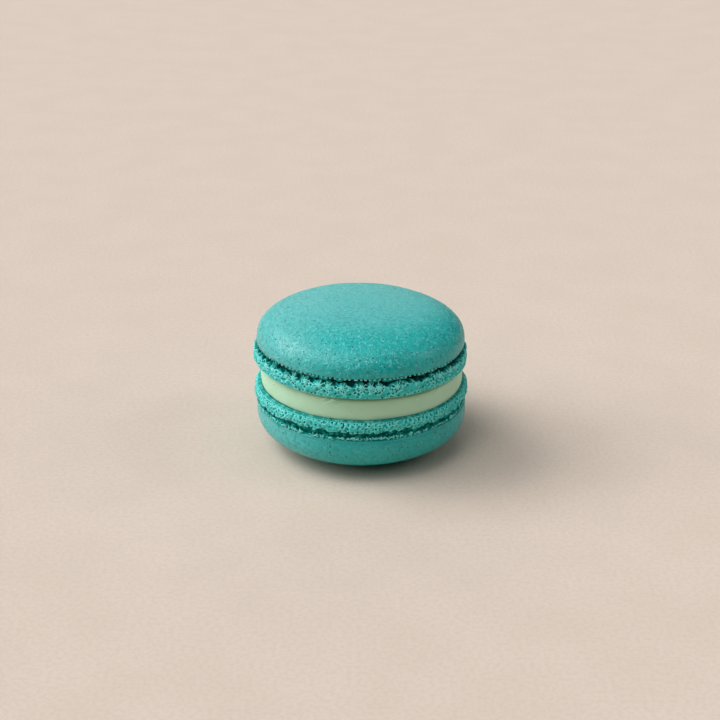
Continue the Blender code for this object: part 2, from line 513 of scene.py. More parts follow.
def dome_relief(noise, xyz, out, zone):
    """How far the crust stands out at each point, and how much of a wrinkle is there, which the skin
    paints paler with a painted glint.
    """
    grain = worms(noise, xyz, 0.75, 0.22) * (0.3 + 0.7 * out)
    streak = worms(noise, xyz @ STROKES.T + 90.0, 0.7, 0.3) * zone
    lift = 0.07 * noise(xyz, 11.0) + 0.022 * noise(xyz, 3.1)
    lift += (0.006 + 0.012 * out) * noise(xyz + 40.0, 1.25)
    lift += 0.024 * grain + 0.07 * streak
    return lift, np.clip(0.5 * grain + streak, 0.0, 1.0)


def make_dome(name, node, material, seed, radius, widest_z, lip_z, rise, last_degrees, ring_points,
              steps, pinholes, teeth, flecks, groove_z=NOWHERE, rough_spot=NO_SPOT):
    direction = 1 if rise > 0.0 else -1
    rng = np.random.default_rng(seed)
    noise = Noise(seed)
    lip = lip_curve(radius, widest_z, lip_z, CREVICE_R - 0.4, direction)
    profile = dome_profile(radius, widest_z, rise, lip, last_degrees)
    points, along, quads, tris, last = join_rings(dome_rings(profile, ring_points, steps))
    lip_place = np.hypot(np.diff(lip[:4, 0]), np.diff(lip[:4, 1])).sum()
    edge, notch = bead_lip(points, along, lip_place + 0.2, direction, noise, teeth)
    xyz = to_xyz(points)
    normal = xyz - np.array([0.0, 0.0, widest_z])
    normal[:, 2] *= 1.6
    normal /= np.linalg.norm(normal, axis=1)[:, None]
    out = smoothstep(0.25, 0.95, points[:, 1] / radius)
    on_skin = smoothstep(lip_place + 0.45, lip_place + 0.8, along)
    zone = np.exp(-((np.linalg.norm(xyz - rough_spot, axis=1) / ROUGH_REACH) ** 2))
    lift, grain = dome_relief(noise, xyz, out, zone)
    off_groove = points[:, 2] - groove_z
    lift -= 0.1 * np.exp(-(off_groove / 0.12) ** 2)
    xyz = xyz + normal * (lift * on_skin)[:, None]
    # Pinholes, more of them near the rim
    wanted = np.nonzero(on_skin > 0.99)[0]
    weight = (0.2 + out[wanted]) * points[wanted, 1]
    picks = rng.choice(wanted, pinholes, replace=False, p=weight / weight.sum())
    radii = rng.uniform(0.14, 0.23, pinholes)
    depths = radii * rng.uniform(0.7, 1.2, pinholes)
    xyz, pressed = dimple(xyz, xyz[picks], radii, depths, normal)
    attributes = {
        "pit": np.clip(-pressed / 0.12, 0.0, 1.0),
        "rim": np.clip(pressed / 0.02, 0.0, 1.0),
        "edge": edge,
        "notch": notch,
        "grain": grain * on_skin,
        "out": out,
        "flecks": flecks * (0.45 + 0.55 * smoothstep(0.5, 2.6, along - lip_place)),
        "groove": np.exp(-(off_groove / 0.13) ** 2)}
    if direction > 0:
        xyz = place_top(xyz)
    else:
        xyz[:, 2] = np.maximum(xyz[:, 2], 0.0)
    faces = [quads[:, ::direction], tris[:, ::direction], last[None, ::direction],
             np.arange(ring_points)[None, ::-direction]]
    return make_piece(name, xyz, faces, material, node, attributes)


# The feet


def spread(rng, count, shuffle):
    """Angles spread round the ring, each moved by up to that share of the spacing."""
    return [TAU * (i + rng.uniform(-shuffle, shuffle)) / count for i in range(count)]


class Skin:
    """The foot's outer radius by height, and the swells that it has before anything is carved."""

    def __init__(self, heights, radii, seed, lump, still_below=0.0):
        self.heights = heights
        self.radii = radii
        self.noise = Noise(seed)
        self.lump = lump
        self.still_below = still_below

    def __call__(self, z):
        return np.interp(z, self.heights, self.radii)

    def swell(self, angle, z):
        lumps = self.lump * self.noise(on_ring(angle, FOOT_R, z), 1.7)
        lumps += 0.45 * self.lump * self.noise(on_ring(angle, FOOT_R, z + 50.0), 0.8)
        fade = smoothstep(self.still_below, self.still_below + 0.8, z)
        return 0.13 * self.noise(on_ring(angle, FOOT_R), 9.0) + fade * lumps

    def face(self, turn, z):
        """The radius of the swollen face at one place."""
        return float(self(z) + self.swell(np.array(turn), np.array(z)))


TOP_SKIN = Skin([20.3, 20.45, 20.6, 20.9, 21.4, 22.0, 22.6, 23.2, 23.9, 24.6],
                [23.25, 23.7, 23.9, 24.0, 24.0, 23.95, 23.85, 23.6, 23.2, 22.8], 31, 0.13, 20.5)
BOTTOM_SKIN = Skin([9.8, 11.6, 12.2, 12.8, 13.5, 14.0, 14.4, 14.65, 14.85, 14.95, 15.2],
                   [23.35, 23.5, 23.8, 23.92, 23.95, 23.88, 23.68, 23.4, 23.0, 22.8, 22.6], 61, 0.11)


class Foot:
    """A foot as it is carved: its field, its skin and the random draws for what is on it."""

    def __init__(self, low_z, high_z, depth, base_radius, skin, seed):
        self.ring = RingField(low_z, high_z, depth, base_radius)
        self.stamp = self.ring.stamp
        self.skin = skin
        self.rng = np.random.default_rng(seed)

    def grid(self):
        """The r and z of the grid's points, and the radius of the swollen face beside them."""
        z = self.ring.z[None, None, :]
        face = self.skin(z) + self.skin.swell(self.ring.angle[:, None, None], z)
        return self.ring.r[None], z, face

    def sway(self, z, length):
        """Noise round the ring, the same at every distance and height."""
        return self.skin.noise(on_ring(self.ring.angle, FOOT_R, z), length)[:, None, None]

    def pick(self, value):
        """A number as it is, or one drawn from a pair's range."""
        return self.rng.uniform(*value) if isinstance(value, tuple) else value

    def scatter(self, count, shuffle, r, z, radius, reach=STILL, blend=SOFT, add=False, under=False):
        """Stamps round the ring, with ranges to draw from. If under, r is how far under the skin."""
        for turn in spread(self.rng, count, shuffle):
            at_r = None if under else self.pick(r)
            at_z = self.pick(z)
            if under:
                at_r = float(self.skin(at_z)) - self.pick(r)
            size = self.pick(radius)
            self.stamp(turn, at_r, at_z, size, [self.pick(x) for x in reach], blend, add)


def carve_star(foot, turn, z, size):
    """A burst of thin light spikes: they fan out over a mound, with small holes between them."""
    rng = foot.rng
    face = foot.skin.face(turn, z) + 0.05
    spikes = int(rng.integers(8, 11))
    tilt = rng.uniform(0.0, TAU)
    for s in range(spikes):
        way = tilt + TAU * (s + 0.5) / spikes
        far = rng.uniform(0.5, 0.72) * size
        foot.stamp(turn + far * math.cos(way) / FOOT_R, face - 0.2, z + far * math.sin(way),
                   rng.uniform(0.13, 0.19), (0.0, 0.35, 0.0), CRISP)
    for s in range(spikes):
        way = tilt + TAU * (s + rng.uniform(-0.2, 0.2)) / spikes
        u, v = math.cos(way), math.sin(way)
        length = rng.uniform(0.85, 1.25) * size * (1.0 if v > -0.3 else 0.8)
        along, in_by, up = u * length / 2.0, 0.11 * length, v * length / 2.0
        foot.stamp(turn + along / FOOT_R, face - in_by, z + up, rng.uniform(0.09, 0.125),
                   (along, -in_by, up), CRISP, True, 1.0)


def carve_foam(foot, low_z, high_z, pitch, sizes, tall=0.1, rows=3):
    """Staggered, shuffled rows of shallow cells, with a small deep hole in some."""
    rng = foot.rng
    count = round(TAU * FOOT_R / pitch)
    for row in range(rows):
        row_z = low_z + (high_z - low_z) * row / (rows - 1)
        for i in range(count):
            turn = TAU * (i + 0.5 * row + rng.uniform(-0.35, 0.35)) / count
            z = row_z + rng.uniform(-0.25, 0.25)
            size = rng.uniform(*sizes)
            long = rng.uniform(-0.15, 0.15)
            up = rng.uniform(0.0, tall)
            face = foot.skin.face(turn, z)
            if rng.random() < 0.7:
                foot.stamp(turn, face + 0.5 * size, z, size, (long, 0.0, up), 0.04)
            if rng.random() < 0.55:
                foot.stamp(turn, face - 0.1, z, rng.uniform(0.13, 0.22), (long, 0.35, up), CRISP)


def carve_ribs(foot):
    """Upright ribs between narrow gaps, in stretches."""
    rng = foot.rng
    ribbed = foot.sway(17.0, 8.0).reshape(-1)
    for turn in spread(rng, 170, 0.25):
        if ribbed[int(turn / foot.ring.step) % AROUND] > 0.1:
            z = rng.uniform(23.1, 23.6)
            reach = (rng.uniform(-0.25, 0.05), 0.2, rng.uniform(0.4, 0.75))
            foot.stamp(turn, float(foot.skin(z)) - 0.2, z, rng.uniform(0.15, 0.24), reach, CRISP)


def carve_fan(foot, turn):
    """A small fan of light spikes that stands up from the edge of the lower dome."""
    rng = foot.rng
    low_z = BOTTOM_LIP_Z + rng.uniform(0.0, 0.25)
    for _ in range(int(rng.integers(3, 6))):
        way = math.radians(rng.uniform(25.0, 155.0))
        u, v = math.cos(way), math.sin(way)
        half = rng.uniform(0.2, 0.5)
        foot.stamp(turn + u * half / FOOT_R, 23.45, low_z + v * half, rng.uniform(0.12, 0.155),
                   (u * half, 0.06, v * half), CRISP, True, 1.0)


# The photo's clearest bursts of spikes, across the front of the upper foot, and the sizes of
# these and of the others, which keep clear of the front
FRONT = 1.5 * math.pi
STARS_X = (-14.6, -11.9, -8.9, -6.9, -3.9, 0.3, 2.2, 4.1, 8.0)
FRONT_STAR = (1.25, 1.5)
OTHER_STAR = (0.9, 1.2)
FRONT_HALF = 0.65


def place_stars(foot):
    """Each burst's place round the ring, height and size, in order."""
    stars = [(FRONT + math.asin(x / FOOT_R), foot.pick(FRONT_STAR)) for x in STARS_X]
    for turn in spread(foot.rng, 40, 0.35):
        if abs((turn - FRONT + math.pi) % TAU - math.pi) > FRONT_HALF:
            stars.append((turn % TAU, foot.pick(OTHER_STAR)))
    stars.sort()
    lowest = [22.75 if size > OTHER_STAR[1] else 22.5 for _, size in stars]
    return [(turn, z + foot.rng.uniform(0.0, 0.25), size) for (turn, size), z in zip(stars, lowest)]


def raise_mounds(foot, stars):
    """A mound under each burst of spikes, and a deep gap between those that are close together."""
    for turn, z, size in stars:
        radius = 0.75 * size
        foot.stamp(turn, foot.skin.face(turn, z) + 0.05 - radius, z, radius, blend=0.06, add=True)
    for (turn, _, _), (after, _, _) in zip(stars, stars[1:] + stars[:1]):
        gap = (after - turn) % TAU
        if gap * FOOT_R < 4.5:
            wide = min(max(gap * FOOT_R / 2.0 - 0.65, 0.2), 0.9)
            z = foot.rng.uniform(23.4, 23.65)
            foot.stamp(turn + gap / 2.0, 23.3, z, 0.5, (wide - 0.2, 0.5, 0.0))


def top_base(z):
    return 22.2 - 0.5 * smoothstep(21.4, 22.6, z)


def top_foot():
    foot = Foot(FILLING_HIGH_Z - 0.3, TOP_LIP_Z + 0.45, 2.6, top_base, TOP_SKIN, 32)
    r, z, face = foot.grid()
    crown = TOP_FOOT_EDGE_Z + 0.2 + (0.4 * foot.sway(3.0, 2.2) + 0.3 * foot.sway(9.0, 0.9))
    band = soft_min(face - r, (crown - z) * 0.9, 0.2)
    core = (CREVICE_R + 0.25 * foot.sway(7.0, 3.0)) - r
    core = soft_min(core, TOP_LIP_Z + 0.3 - z, 0.1)
    foot.ring.fill(soft_min(soft_max(band, core, 0.15), z - FILLING_HIGH_Z + 0.02, 0.12))

    # Smooth mounds at the back of the crevice
    foot.scatter(80, 0.35, 21.95, (22.9, 24.0), (0.5, 0.85), blend=0.12, add=True)
    # Deep pockets where bubbles broke open along the top of the foot
    foot.scatter(58, 0.3, 0.35, (23.25, 23.75), (0.42, 0.72), ((0.0, 0.35), 0.35, 0.0), under=True)
    foot.scatter(64, 0.45, 0.2, (22.7, 23.6), (0.22, 0.4), (0.0, 0.2, 0.0), 0.04, under=True)
    carve_ribs(foot)
    carve_foam(foot, 20.9, 22.6, 1.12, (0.28, 0.44))
    stars = place_stars(foot)
    raise_mounds(foot, stars)
    # Skins that hang from the lip in scallops
    foot.scatter(46, 0.45, 22.62, 24.42, (0.36, 0.52), ((0.1, 0.9), 0.0, 0.0), 0.06, True)
    for star in stars:
        carve_star(foot, *star)
    return foot


def bottom_base(z):
    return 21.9 + 0.3 * smoothstep(12.6, 14.0, z) + 0.9 * (1.0 - smoothstep(10.3, 11.0, z))


def bottom_foot():
    foot = Foot(BOTTOM_LIP_Z - 0.5, FILLING_LOW_Z + 0.3, 2.4, bottom_base, BOTTOM_SKIN, 62)
    r, z, face = foot.grid()
    edge = BOTTOM_FOOT_EDGE_Z + (0.4 * foot.sway(3.0, 1.9) + 0.2 * foot.sway(33.0, 0.7))
    band = soft_min(face - r, (z - edge) * 0.9, 0.12)
    wall = CREVICE_R + 0.45 + 0.8 * (1.0 - smoothstep(10.2, 11.3, z))
    core = wall + 0.2 * foot.sway(7.0, 3.0) - r
    core = soft_min(core, z - (BOTTOM_LIP_Z - 0.25), 0.1)
    # The ledge round the filling is flat, with fine ribs that run outwards and a beaded rim
    ribs = foot.skin.noise(on_ring(foot.ring.angle, RIB_R, RIB_Z), 0.55)[:, None, None]
    ledge = FILLING_LOW_Z + 0.08 * ribs - z
    foot.ring.fill(soft_min(soft_max(band, core, 0.12), ledge, 0.07))

    # Bubbles that broke open under the foot, some of them deep, and round mounds between them
    foot.scatter(80, 0.4, (0.1, 0.6), (11.75, 12.45), (0.35, 0.62), ((0.0, 0.5), 0.2, 0.0), under=True)
    foot.scatter(92, 0.45, (22.5, 22.75), (11.1, 12.2), (0.35, 0.6), ((0.0, 0.4), 0.0, (0.0, 0.25)),
                 0.08, True)
    foot.scatter(64, 0.45, 23.05, (11.1, 12.1), (0.26, 0.44), ((0.0, 0.35), 0.6, 0.0), 0.04)
    for turn in spread(foot.rng, 158, 0.4):
        carve_fan(foot, turn)
    # Holes and upright slots in the face, a row of pits behind the rim and notches that bead it
    carve_foam(foot, 12.8, 14.3, 1.05, (0.26, 0.4), 0.2)
    foot.scatter(170, 0.3, 23.1, 14.93, (0.13, 0.2), (0.0, (0.05, 0.2), 0.0), 0.04)
    for turn in spread(foot.rng, 165, 0.35):
        z = foot.rng.uniform(14.5, 14.62)
        size = foot.rng.uniform(0.13, 0.19)
        foot.stamp(turn, foot.skin.face(turn, z), z, size, (0.0, 0.12, 0.1), CRISP)
    return foot


def make_foot(name, node, material, foot, seed, place):
    ring = foot.ring
    points, grid, quads = ring.surface()
    noise = Noise(seed)
    # How deep each point lies, which paints shade in hollows and crevices, also where the solid is
    # uncarved
    depth = np.maximum(ring.at(ring.whole, grid), foot.skin(points[:, 2]) - points[:, 1] - 0.15)
    # Both crevices, under the upper lip and under the lower foot's edge, get painted shade by height
    depth = np.maximum(depth, 0.45 * smoothstep(23.9, 24.2, points[:, 2]))
    depth = np.maximum(depth, 0.42 * (1.0 - smoothstep(11.7, 12.3, points[:, 2])))
    hollow = ring.solidity(grid, 2) - 0.5
    xyz = relax(to_xyz(points), quads, 1, 0.3)
    normal = normals_of(xyz, quads)
    # Ridges stand out of their neighbours along the normal
    ridge = ((xyz - relax(xyz, quads, 2, 1.0)) * normal).sum(1)
    grain = 0.010 * noise(xyz, 0.42) + 0.02 * noise(xyz + 30.0, 0.9)
    xyz = xyz + normal * grain[:, None]
    flat = np.clip(normal[:, 2], 0.0, 1.0) * smoothstep(14.6, 14.8, points[:, 2])
    attributes = {
        "depth": np.clip(depth / 0.9, 0.0, 1.0),
        "ridge": np.clip(ridge / 0.03, -1.0, 1.0),
        "hollow": hollow,
        "light": ring.at(ring.light, grid),
        "ledge": flat * (1.0 - smoothstep(23.25, 23.5, points[:, 1])),
        "rib": noise(on_ring(points[:, 0], RIB_R, RIB_Z), 0.5)}
    return make_piece(name, place(xyz), [quads], material, node, attributes)


# The filling

# Points round it and rows up its side, and its hidden inner radius
FILLING_POINTS = 1008
FILLING_ROWS = 42
FILLING_INNER_R = 21.9

# How far its lower and upper edges draw in, and where a knife left its smear
FILLING_LOW_TUCK = 0.3
FILLING_HIGH_TUCK = 0.5
SMEAR_TURN = math.radians(254.0)
SMEAR_HALF = math.radians(9.0)


def filling_outline(low, high):
    """The filling's r and z from its hidden lower edge, up its bulging side to the upper one."""
    outline = [(FILLING_INNER_R, low)]
    for k in range(FILLING_ROWS + 1):
        share = k / FILLING_ROWS
        bulge = max(1.0 - abs(2.0 * share - 1.0) ** 3.2, 0.0) ** 0.55
        ends = FILLING_LOW_TUCK if share < 0.5 else FILLING_HIGH_TUCK
        outline.append((FILLING_R - ends * (1.0 - bulge), low + (high - low) * share))
    return outline + [(FILLING_INNER_R, high)]


def smear_strokes(noise, angle, z, share):
    """A rough smear near the upper edge, where a knife passed, and fainter ones further round."""
    swing = (angle - SMEAR_TURN) / SMEAR_HALF
    passes = np.exp(-swing ** 4) + 0.5 * smoothstep(0.25, 0.6, noise(on_ring(angle, 23.0), 9.0))
    smear = np.exp(-((share - 0.72) / 0.12) ** 2) * np.clip(passes, 0.0, 1.0)
    run = angle * FILLING_R
    strokes = np.stack([(run * 0.87 + z * 0.5) / 3.2, (z * 0.87 - run * 0.5) / 0.55, 0.0 * run], -1)
    breaks = smoothstep(-0.4, 0.1, noise(strokes + 60.0, 1.3))
    return smear * (np.exp(-(noise(strokes, 1.0) / 0.3) ** 2) * breaks)


def make_filling(material):
    noise = Noise(91)
    low, high = FILLING_LOW_Z - 0.05, FILLING_HIGH_Z + 0.05
    outline = filling_outline(low, high)
    count, points = len(outline), FILLING_POINTS
    angle = np.tile(TAU * np.arange(points) / points, count)
    r, z = (np.repeat(part, points) for part in zip(*outline))
    xyz = to_xyz(np.stack([angle, r, z], 1))
    share = (z - low) / (high - low)
    out = smoothstep(FILLING_INNER_R, FILLING_INNER_R + 0.2, r)
    smear = smear_strokes(noise, angle, z, share)
    lift = 0.09 * noise(xyz * [1.0, 1.0, 0.5], 7.0) + 0.03 * noise(xyz * [1.0, 1.0, 1.6], 2.6)
    lift += 0.07 * smear
    # The olive shade is fainter where the upper foot lets light in, on the left
    foot_shade = 0.35 + 0.65 * smoothstep(-17.0, -3.0, xyz[:, 0])
    xyz[:, :2] *= (1.0 + out * lift / r)[:, None]
    xyz[:, 2] -= share * xyz[:, 0] * math.tan(TOP_TILT)
    index = np.arange(count * points).reshape(count, points)
    after = np.roll(index, -1, 1)
    quads = np.stack([index[:-1], after[:-1], after[1:], index[1:]], -1).reshape(-1, 4)
    faces = [quads, index[0][None, ::-1], index[-1][None]]
    attributes = {"share": share, "smear": smear, "foot_shade": foot_shade}
    return make_piece("filling_cream", xyz, faces, material, "filling", attributes)


# Crumbs

# Where the photo shows the clearest ones: the carrier, x across the front, z or the dome's r,
# and the size
SEEN_CRUMBS = (("foot", -15.6, 13.0, 0.27), ("foot", 7.2, 13.6, 0.27), ("dome", 2.6, 5.3, 0.16),
               ("dome", 0.4, 18.4, 0.17), ("dome", 1.2, 22.3, 0.16), ("dome", 2.3, 22.2, 0.14),
               ("cream", -2.2, 17.2, 0.12), ("foot", 9.5, 22.0, 0.2))


def crumb_shape(rng, place, size):
    """A small lump: a cube's corners and face middles, all pulled to about one distance."""
    verts = []
    for corner in np.ndindex(3, 3, 3):
        way = np.array(corner) - 1.0
        length = np.linalg.norm(way)
        if length > 0.0:
            verts.append(place + way / length * size * rng.uniform(0.75, 1.15) * [1.0, 1.0, 0.8])
    return verts


def crumb_faces():
    """The quads over a cube's surface, two by two on each side, from the order in crumb_shape."""
    order = {corner: i for i, corner in enumerate(c for c in np.ndindex(3, 3, 3) if c != (1, 1, 1))}
    quads = []
    for axis in range(3):
        for side in (0, 2):
            for a, b in np.ndindex(2, 2):
                ring = []
                for da, db in ((0, 0), (1, 0), (1, 1), (0, 1)):
                    corner = [a + da, b + db]
                    corner.insert(axis, side)
                    ring.append(order[tuple(corner)])
                outward = (side == 2) == (axis != 1)
                quads.append(ring if outward else ring[::-1])
    return np.array(quads)


def dome_height(r):
    """The upper dome's height at a distance from the axis."""
    angle = math.acos(min(r / TOP_CAP_R, 1.0) ** (DOME_POWER / 2.0))
    return dome_outline(TOP_CAP_R, TOP_WIDEST_Z, APEX_Z - TOP_WIDEST_Z, angle)[1]


def seen_crumb(carrier, x, other, size):
    """A crumb's turn, r, z and size, and how teal it is."""
    if carrier == "dome":
        return FRONT + math.asin(x / other), other, dome_height(other) + 0.3 * size, size, 0.0
    if carrier == "foot":
        skin = TOP_SKIN if other > FILLING_HIGH_Z else BOTTOM_SKIN
        r = float(skin(other))
        return FRONT + math.asin(x / r), r - 0.02, other, size, 0.0
    return FRONT + math.asin(x / FILLING_R), FILLING_R, other, size, 1.0


def make_crumbs(material):
    rng = np.random.default_rng(123)
    places = [seen_crumb(*row) for row in SEEN_CRUMBS]
    # Finer ones over the upper dome and round the lower foot
    for turn in spread(rng, 14, 0.5):
        r = rng.uniform(8.0, 22.0)
        places.append((turn, r, dome_height(r), rng.uniform(0.07, 0.12), 0.0))
    for turn in spread(rng, 10, 0.5):
        z = rng.uniform(13.0, 14.2)
        places.append((turn, float(BOTTOM_SKIN(z)), z, rng.uniform(0.1, 0.2), 0.0))
    verts, quads, teal = [], [], []
    for turn, r, z, size, tone in places:
        quads.append(crumb_faces() + len(verts))
        shape = crumb_shape(rng, on_ring(turn, r, z), size)
        verts.extend(shape)
        teal.extend([tone] * len(shape))
    make_piece("crumbs", np.array(verts), quads, material, None, {"teal": teal})


# Materials


class Nodes:
    """Short ways to add and join nodes in one material."""

    def __init__(self, name):
        self.material = bpy.data.materials.new(name)
        self.material.use_nodes = True
        self.tree = self.material.node_tree
        self.shader = self.tree.nodes["Principled BSDF"]
        self.place = self.tree.nodes.new("ShaderNodeTexCoord").outputs["Object"]

    def feed(self, name, out):
        """Feeds one of the shader's sockets."""
        self.tree.links.new(out, self.shader.inputs[name])

    def set(self, **values):
        """Sets the shader's own sockets."""
        for key, value in values.items():
            self.shader.inputs[key.replace("_", " ").replace("Ior", "IOR")].default_value = value

    def add(self, kind, inputs, **settings):
        """Adds a node. Its inputs take numbers, colours or the outputs of other nodes."""
        node = self.tree.nodes.new(kind)
        for key, value in settings.items():
            setattr(node, key, value)
        for key, value in inputs.items():
            socket = node.inputs[key]
            if isinstance(value, tuple):
                socket.default_value = (*value, 1.0)
            elif isinstance(value, float):
                socket.default_value = value
            else:
                self.tree.links.new(value, socket)
        return node

    def noise(self, scale, detail=2.0, warp=0.0):
        inputs = {"Vector": self.place, "Scale": scale, "Detail": detail, "Distortion": warp}
        return self.add("ShaderNodeTexNoise", inputs).outputs["Fac"]

    def cells(self, scale, feature="F1", output="Distance"):
        inputs = {"Vector": self.place, "Scale": scale}
        return self.add("ShaderNodeTexVoronoi", inputs, feature=feature).outputs[output]

    def some_cells(self, scale, least):
        """1 in some of the same cells, picked at random, and 0 in the others."""
        return self.ramp(self.cells(scale, output="Color"), least, least + 0.02)

    def ramp(self, value, low, high, out_low=0.0, out_high=1.0):
        inputs = {"Value": value, "From Min": low, "From Max": high, "To Min": out_low, "To Max": out_high}
        return self.add("ShaderNodeMapRange", inputs, interpolation_type="SMOOTHSTEP").outputs["Result"]

    def along_x(self):
        """The place across the front, from left to right, in metres."""
        return self.add("ShaderNodeSeparateXYZ", {0: self.place}).outputs["X"]

    def attribute(self, name):
        return self.add("ShaderNodeAttribute", {}, attribute_name=name).outputs["Fac"]

    def math(self, operation, a, b):
        return self.add("ShaderNodeMath", {0: a, 1: b}, operation=operation).outputs[0]

    def times(self, a, b):
        return self.math("MULTIPLY", a, b)

    def mix(self, share, a, b):
        return self.add("ShaderNodeMix", {"Factor": share, 6: a, 7: b}, data_type="RGBA").outputs[2]

    def tint(self, colour, rows):
        """Mixes colours in where attributes are high: name, start, full, share and colour."""
        for name, start, full, share, paint in rows:
            colour = self.mix(self.ramp(self.attribute(name), start, full, 0.0, share), colour, paint)
        return colour

    def bump(self, height, strength, distance, normal=None):
        inputs = {"Strength": strength, "Distance": distance, "Height": height}
        if normal is not None:
            inputs["Normal"] = normal
        return self.add("ShaderNodeBump", inputs).outputs["Normal"]


SKIN = (0.001, 0.445, 0.425)
SKIN_SLOW = (0.006, 0.475, 0.455)
SKIN_TOP_SHEEN = (0.050, 0.455, 0.440)
LEFT_SIDE_SHEEN = (0.110, 0.490, 0.480)
SKIN_LINE_AND_GLINT = (0.110, 0.670, 0.650)
SKIN_LOW = (0.000, 0.290, 0.270)
SKIN_RECESS_SHADE = (0.000, 0.110, 0.100)
TORN_PALE_AND_HIGHLIGHT = (0.520, 0.950, 0.910)
DRY = (0.000, 0.450, 0.415)
DRY_SLOW = (0.010, 0.500, 0.460)
OUTER_FACE_LIGHT = (0.060, 0.620, 0.570)
PALE_RIM_AND_HIGHLIGHT = (0.230, 0.860, 0.800)
HOLLOW_TEAL_SHADE = (0.000, 0.410, 0.370)
LEDGE_SHADE = (0.000, 0.270, 0.240)
SHADE = (0.000, 0.060, 0.050)

# Where each attribute starts to show and shows in full, how strongly, and in which colour
SKIN_TINTS = (
    # The pinholes' raised rims: paler crust with a painted highlight
    ("rim", 0.2, 1.0, 0.5, SKIN_LINE_AND_GLINT),
    # Painted shade in the pinholes and along the groove
    ("pit", 0.1, 0.8, 0.85, SKIN_RECESS_SHADE),
    ("groove", 0.3, 0.9, 0.4, SKIN_RECESS_SHADE),
    ("notch", 0.25, 0.7, 0.95, SHADE),
    # The torn beads along the lip: pale crust, raised to a painted highlight
    ("edge", 0.35, 0.8, 1.0, TORN_PALE_AND_HIGHLIGHT))
FOOT_TINTS = (
    # Painted shade: a deeper teal in the hollows and crevices, near black in the deepest
    ("hollow", 0.08, 0.26, 0.9, HOLLOW_TEAL_SHADE),
    ("depth", 0.15, 0.4, 0.95, HOLLOW_TEAL_SHADE),
    ("hollow", 0.26, 0.42, 0.85, SHADE),
    ("depth", 0.5, 0.85, 0.85, SHADE),
    # Thin spikes: pale, with a painted highlight
    ("light", 0.35, 0.9, 0.9, PALE_RIM_AND_HIGHLIGHT))


def skin_material():
    """The dome's thin crust: satin, with short curly wrinkles and pinholes."""
    n = Nodes("shell_skin")
    out = n.attribute("out")
    colour = n.mix(n.ramp(n.noise(160.0), 0.35, 0.65), SKIN, SKIN_SLOW)
    # Painted sheen: the dome is paler towards its middle
    colour = n.mix(n.ramp(out, 0.0, 1.0, 1.0, 0.0), colour, SKIN_TOP_SHEEN)
    # Painted sheen: paler on the left, the side the main light comes from
    colour = n.mix(n.ramp(n.along_x(), -0.022, -0.002, 0.8, 0.0), colour, LEFT_SIDE_SHEEN)
    # Curly lines where a warped noise crosses its middle, broken into short pieces
    breaks = n.ramp(n.noise(1500.0, 0.0), 0.42, 0.52)
    off_line = n.math("ABSOLUTE", n.math("SUBTRACT", n.noise(1450.0, 0.0, 1.0), 0.5), 0.0)
    curls = n.times(n.ramp(off_line, 0.0, 0.13, 1.0, 0.0), breaks)
    curls = n.times(curls, n.ramp(out, 0.0, 0.9, 0.5, 1.0))
    curls = n.times(curls, n.attribute("flecks"))
    colour = n.mix(n.ramp(n.noise(1100.0, 1.0), 0.48, 0.68, 0.0, 0.55), colour, SKIN_LOW)
    # The curly lines and wrinkles: paler crust with a painted glint
    colour = n.mix(n.times(curls, 0.9), colour, SKIN_LINE_AND_GLINT)
    colour = n.mix(n.ramp(n.attribute("grain"), 0.2, 0.9, 0.0, 0.4), colour, SKIN_LINE_AND_GLINT)
    away = n.cells(760.0)
    some = n.some_cells(760.0, 0.45)
    pores = n.times(n.ramp(away, 0.11, 0.18, 1.0, 0.0), some)
    ring = n.times(n.ramp(away, 0.18, 0.22), n.ramp(away, 0.24, 0.32, 1.0, 0.0))
    # A painted highlight on the rims round some pores
    colour = n.mix(n.times(n.times(ring, some), 0.3), colour, SKIN_LINE_AND_GLINT)
    # Painted shade in the pores
    colour = n.mix(n.times(pores, 0.9), colour, SKIN_RECESS_SHADE)
    n.feed("Base Color", n.tint(colour, SKIN_TINTS))
    n.feed("Roughness", n.ramp(n.noise(900.0, 3.0), 0.3, 0.7, 0.30, 0.44))
    n.set(Specular_Ior_Level=0.5, Subsurface_Weight=0.08, Subsurface_Radius=(0.2, 1.0, 0.9),
          Subsurface_Scale=0.0010)
    normal = n.bump(curls, 1.0, 0.0001)
    normal = n.bump(n.noise(2600.0, 1.0), 0.6, 0.00005, normal)
    normal = n.bump(pores, 1.0, -0.00012, normal)
    n.feed("Normal", normal)
    return n.material


